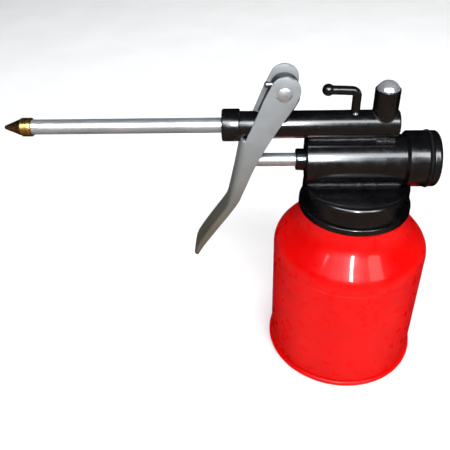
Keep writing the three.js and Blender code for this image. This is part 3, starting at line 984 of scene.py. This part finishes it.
def smooth_line(points, steps):
    """A curve through the points, with this many steps between each two."""
    ends = [points[0]] + list(points) + [points[-1]]
    line = []
    for a, b, c, d in zip(ends, ends[1:], ends[2:], ends[3:]):
        a, b, c, d = Vector(a), Vector(b), Vector(c), Vector(d)
        for step in range(steps):
            t = step / steps
            square = (2 * a - 5 * b + 4 * c - d) * t**2
            cube = (3 * b - a - 3 * c + d) * t**3
            line.append(0.5 * (2 * b + (c - a) * t + square + cube))
    line.append(Vector(points[-1]))
    return line


def reach(start, direction, line):
    """How far a ray from start runs before it crosses a line."""
    found = []
    for first, second in zip(line, line[1:]):
        edge = second - first
        cross = direction.x * edge.y - direction.y * edge.x
        if abs(cross) < 1e-9:
            continue
        away = first - start
        share = (away.x * direction.y - away.y * direction.x) / cross
        distance = (away.x * edge.y - away.y * edge.x) / cross
        if -0.01 <= share <= 1.01 and distance > 0:
            found.append(distance)
    return min(found) if found else None


def resample(line, count):
    """Evenly spaced points along a line."""
    lengths = [0.0]
    for first, second in zip(line, line[1:]):
        lengths.append(lengths[-1] + (second - first).length)
    points = []
    segment = 0
    for index in range(count):
        target = lengths[-1] * index / (count - 1)
        while segment < len(line) - 2 and lengths[segment + 1] < target:
            segment += 1
        piece = max(lengths[segment + 1] - lengths[segment], 1e-9)
        points.append(line[segment].lerp(line[segment + 1], (target - lengths[segment]) / piece))
    return points


def channel_section(width, depth, bend, plate, steps=8):
    """Half-width and depth points of the folded channel: outer face, then inner face, left to right."""
    outer = [(-width, depth)]
    inner = [(-width + plate, depth)]
    for side in (-1, 1):
        turn = [step / steps * math.pi / 2 for step in range(steps + 1)]
        if side == 1:
            turn = turn[::-1]
        for angle in turn:
            across, down = math.cos(angle), math.sin(angle)
            hub = width - bend
            outer.append((side * (hub + bend * across), bend - bend * down))
            inner.append((side * (hub + (bend - plate) * across), bend - (bend - plate) * down))
    outer.append((width, depth))
    inner.append((width - plate, depth))
    return outer, inner


def make_lever(material, pin_centre, hole_radius):
    """A folded channel whose side plates run on to the pin. The web's top end meets the delivery tube."""
    half = node_box("lever")[1].y
    plate = 1.4
    tip_round = 5.0
    rear = smooth_line(REAR_LINE, 8)
    rear.insert(0, rear[0] + (rear[0] - rear[1]) * 4)
    web = resample(smooth_line(WEB_LINE, 8), 90)
    points = []
    outers = []
    inners = []
    travelled = 0.0
    for index, spot in enumerate(web):
        if index:
            travelled += (spot - web[index - 1]).length
        ahead = web[min(index + 1, len(web) - 1)]
        behind = web[max(index - 1, 0)]
        along = (ahead - behind).normalized()
        normal = Vector((along.y, -along.x))
        depth = reach(spot, normal, rear) or 2.4
        bend = min(4.5, 0.55 * depth, 2.0 + 0.12 * max(0.0, travelled - 36), 1.9 + 0.25 * (78.8 - travelled))
        bend = max(plate + 0.3, bend)
        bend = min(bend, depth - 0.15)
        narrow = max(0.0, tip_round - travelled)
        width = half - tip_round + math.sqrt(tip_round**2 - narrow**2)
        outer, inner = channel_section(width, depth, bend, plate)
        numbers = []
        for face in (outer, inner):
            start = len(points)
            for across, down in face:
                flat = spot + normal * down
                points.append((flat.x, across, flat.y))
            numbers.append(list(range(start, len(points))))
        outers.append(numbers[0])
        inners.append(numbers[1])
    faces = []
    count = len(outers[0])
    for outer, outer_next, inner, inner_next in zip(outers, outers[1:], inners, inners[1:]):
        for side in range(count - 1):
            faces.append([outer[side], outer[side + 1], outer_next[side + 1], outer_next[side]])
            faces.append([inner[side + 1], inner[side], inner_next[side], inner_next[side + 1]])
        for edge in (0, -1):
            faces.append([outer[edge], outer_next[edge], inner_next[edge], inner[edge]])
    for side in range(count - 1):
        faces.append([outers[0][side], inners[0][side], inners[0][side + 1], outers[0][side + 1]])
    for side in range(1, count - 2):
        faces.append([outers[-1][side], outers[-1][side + 1], inners[-1][side + 1], inners[-1][side]])
    add_plates(points, faces, outers[-1], inners[-1], rear)
    shape = make_mesh("lever_channel", points, faces)
    subtract(shape, cross_bar("rivet_hole", hole_radius, 12, pin_centre))
    soften(shape, 0.28, 3, 50)
    return dress(shape, material, "lever", "zinc_steel", "lever", sharp=30)


def add_plates(points, faces, outer, inner, rear):
    """Carries the channel's side plates on from the top of its web, round the lever's head."""
    apex = (math.pi - 0.8) / 2
    corner = {side: (points[outer[side]], points[outer[middle]]) for side, middle in ((0, 1), (-1, -2))}
    rear_foot, front_foot = (Vector((spot[0], spot[2])) for spot in corner[0])
    head = Vector(HEAD_CENTRE)
    rear_path = [rear_foot] + [spot for spot in rear if spot.y > rear_foot.y + 0.5]
    rear_path += [Vector(spot) for spot in arc(head, HEAD_ROUND, -0.25, apex, 16)]
    front_path = [front_foot] + smooth_line([(-53.4, 139.8), (-52.1, 142.5), (-46.3, 157.0)], 6)
    front_path += [Vector(spot) for spot in arc(head, HEAD_ROUND, math.pi - 0.34, apex, 16)]
    count = 60
    rear_points = resample(rear_path, count)
    front_points = resample(front_path, count)
    for edge, middle in ((0, 1), (-1, -2)):
        outer_y = points[outer[edge]][1]
        inner_y = points[inner[edge]][1]
        before = [outer[edge], outer[middle], inner[middle], inner[edge]]
        for back, front in zip(rear_points[1:], front_points[1:]):
            start = len(points)
            points.append((back.x, outer_y, back.y))
            points.append((front.x, outer_y, front.y))
            points.append((front.x, inner_y, front.y))
            points.append((back.x, inner_y, back.y))
            after = list(range(start, start + 4))
            faces += stitch([before, after])
            before = after


# ---------------------------------------------------------------- brazing


def make_bead(name, centres, outwards, radius, material, closed=False, seed=0.0):
    """A lumpy run of brazing along a line of centres, tapering at open ends."""
    stations = []
    last = len(centres) - 1
    for index, (centre, outward) in enumerate(zip(centres, outwards)):
        ends = 1.0 if closed else math.sqrt(max(0.0, 1 - (2 * index / last - 1) ** 12))
        lump = 1 + 0.30 * noise.noise(Vector((index * 0.23 + seed, seed * 3, 0)))
        drift = 0.25 * noise.noise(Vector((index * 0.11 + seed, 7, seed)))
        spot = Vector(centre) + Vector(outward) * drift
        stations.append((spot, radius * lump * ends, outward))
    shape = sweep(name, stations, sides=20, closed=closed, roughen=0.30, seed=seed)
    return dress(shape, material, "head", "black_paint", sharp=60)


def straight_run(start, end, side, height, steps=90):
    return [(start + (end - start) * step / steps, side, height) for step in range(steps + 1)]


def make_brazing(material, barrel, barrel_radius, tube, tube_radius):
    """Brazing between the cap and the barrel, the barrel and the tube, and round what stands on the tube."""
    cap_top = node_box("pump_cap")[1].z
    head_front = node_box("barrel_head")[0].x
    for number, side in enumerate((-1, 1)):
        lean = Vector((0, side, 0.6)).normalized()
        run = straight_run(-25, head_front + 1, side * 5.4, cap_top + 0.55)
        make_bead(f"cap_braze_{number}", run, [lean] * len(run), 1.15, material, seed=3.1 + number)
        middle = (barrel[2] + barrel_radius + tube[2] - tube_radius) / 2
        run = straight_run(-25.4, 15.4, side * 2.8, middle)
        outwards = [(0, side, 0)] * len(run)
        bead = make_bead(f"tube_braze_{number}", run, outwards, 0.9, material, seed=9.7 + number)
        if number == 0:
            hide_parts("tube_saddle")
        run = straight_run(5.5, 15.0, side * 4.3, middle - 0.3, 40)
        make_bead(f"boss_braze_{number}", run, [(0, side, 0)] * len(run), 1.1, material, seed=15.2 + number)


def foot_ring(centre_x, radius, tube, tube_radius, steps=64):
    centres = []
    outwards = []
    for step in range(steps):
        angle = 2 * math.pi * step / steps
        side = radius * math.sin(angle)
        height = tube[2] + math.sqrt(max(0.0, tube_radius**2 - side**2))
        centres.append((centre_x + radius * math.cos(angle), side, height))
        outwards.append((math.cos(angle), math.sin(angle), 0))
    return centres, outwards


# ---------------------------------------------------------------- assembly


def finish_nodes(nodes, material):
    """Gives CAD nodes that stay as they are a detailed material."""
    for name in nodes:
        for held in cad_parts[name].material_slots:
            held.material = material


def make_floor():
    size = 1.6
    rim = 24
    drop = -0.2
    angles = [step * 2 * math.pi / rim for step in range(rim)]
    points = [(size / MM * math.cos(a), size / MM * math.sin(a), drop) for a in angles]
    floor = make_mesh("floor", points, [list(range(rim))])
    floor.data.materials.append(pale_floor())
    floor.visible_glossy = False


make_camera()
make_lights()

red = red_enamel()
black = black_enamel()
# Braze beads: matte, with denser light flecks that are painted glints standing in for highlights.
braze = black_enamel("braze_enamel", 0.70, 0.50, 0.65, 0.0)
matte_black = black_enamel("matte_black", 0.74, 0.45, 0.60, 0.0)
zinc = zinc_plate()
steel = bright_steel()
springs = spring_steel()
chrome = polished_chrome()
rubber = black_rubber()
leather = oiled_leather()
brass = worked_brass("plain_brass", (0.56, 0.36, 0.12), (0.36, 0.20, 0.07))

barrel_low, barrel_high = node_box("pump_barrel")
barrel = (0, 0, (barrel_low.z + barrel_high.z) / 2)
tube_low, tube_high = node_box("outlet_tube")
tube = (0, 0, (tube_low.z + tube_high.z) / 2)
pin_low, pin_high = node_box("pivot_pin")
pin = ((pin_low.x + pin_high.x) / 2, (pin_low.z + pin_high.z) / 2)
nozzle_collar = 5
cone = node_box("nozzle_tip")[1].x - nozzle_collar

make_wall(red)
make_shoulder(red)
make_base(red)
make_collar(black)
make_ring("neck_seal", "neck_gasket", 24.0, 0.15, "Z", (0, 0, 0), rubber, "gasket", "rubber")
make_cap(black, barrel)
make_barrel(black, barrel)
make_barrel_head(black, barrel)
make_ring("rear_seal", "rear_gasket", 10.0, 0.8, "X", barrel, rubber, "head", "rubber")
make_rear_cap(black, barrel)
make_gland(black, barrel)
make_rod(steel, barrel)
make_tube(black, tube)
make_boss(black, tube, tube_high.y)
make_plug(chrome)
make_spout_nut(black, tube)
make_spout(steel, tube)
make_nozzle(nozzle_brass(cone), tube, cone)
make_hook(black, tube_high.z)
make_lug(matte_black, tube, tube_high.y, pin, PIN_HOLE)
make_set_screw(springs)
make_pin(steel, pin)
make_lever(zinc, pin, LEVER_HOLE)
make_brazing(braze, barrel, barrel_high.y, tube, tube_high.y)

boss_low, boss_high = node_box("valve_boss")
boss_ring = foot_ring((boss_low.x + boss_high.x) / 2, boss_high.y, tube, tube_high.y)
make_bead("boss_foot_braze", *boss_ring, 0.32, braze, closed=True, seed=21.0)

finish_nodes(["outlet_spring", "return_spring"], springs)
finish_nodes(["inlet_ball", "outlet_ball"], chrome)
finish_nodes(["inlet_cage", "suction_strainer"], brass)
finish_nodes(["suction_tube"], steel)
finish_nodes(["spout_ferrule", "piston_washer", "piston_nut"], zinc)
finish_nodes(["gland_seal", "plug_washer"], rubber)
finish_nodes(["piston_cup"], leather)
make_floor()
